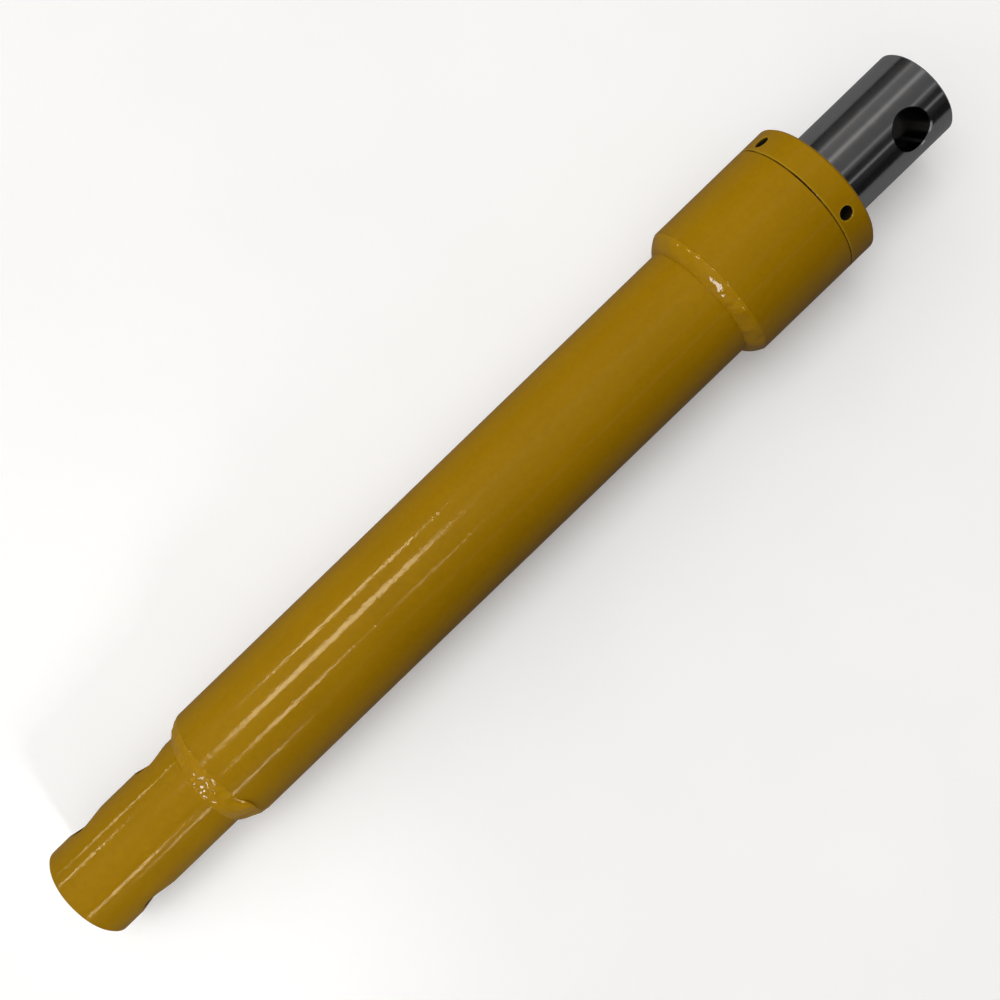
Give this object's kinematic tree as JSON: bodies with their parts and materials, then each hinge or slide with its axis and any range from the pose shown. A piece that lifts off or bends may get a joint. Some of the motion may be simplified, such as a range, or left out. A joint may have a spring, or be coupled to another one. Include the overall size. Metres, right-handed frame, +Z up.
{
  "type": "single-acting hydraulic cylinder",
  "caption": "Welded hydraulic ram with a sliding plunger rod, a threaded gland and a cross pin hole at each end.",
  "frame": {"origin": "centre of the base lug's pin hole, on the ram's axis", "axes": "+X along the ram from the base lug to the rod end, +Y along the base lug's pin hole on the side of the pipe port, +Z up"},
  "size_m": [0.4506, 0.0616, 0.0618],
  "materials": {
    "yellow_paint": "gloss",
    "ground_rod": "ground and polished",
    "bare_steel": "machined",
    "spring_steel": "black phosphate",
    "zinc_sheet": "zinc plated",
    "bronze": "machined bronze",
    "fabric_rubber": "fabric-reinforced, matte",
    "nitrile": "satin",
    "urethane": "satin",
    "nylon": "satin"
  },
  "bodies": {
    "barrel": {"base_lug": "yellow_paint", "base_weld": "yellow_paint", "barrel_tube": "yellow_paint", "collar_weld": "yellow_paint", "head_collar": "yellow_paint", "packing_support_ring": "bronze", "v_ring_1": "fabric_rubber", "v_ring_2": "fabric_rubber", "v_ring_3": "fabric_rubber", "v_ring_4": "fabric_rubber", "packing_follower_ring": "bronze", "gland_nut": "yellow_paint", "gland_o_ring": "nitrile", "gland_bushing": "bronze", "wiper_case": "zinc_sheet", "wiper_lip": "urethane"},
    "rod_guide": {"stop_ring": "bare_steel", "wear_band": "nylon"},
    "rod": {"rod": "ground_rod", "retaining_ring": "spring_steel"}
  },
  "joints": [
    {"name": "rod_slide", "type": "slide", "parent": "barrel", "child": "rod_guide", "axis": [1, 0, 0], "range_m": [0, 0.254]},
    {"name": "rod_turn", "type": "hinge", "parent": "rod_guide", "child": "rod", "pos_m": [0.0775, 0, 0], "axis": [1, 0, 0], "continuous": true}
  ]
}
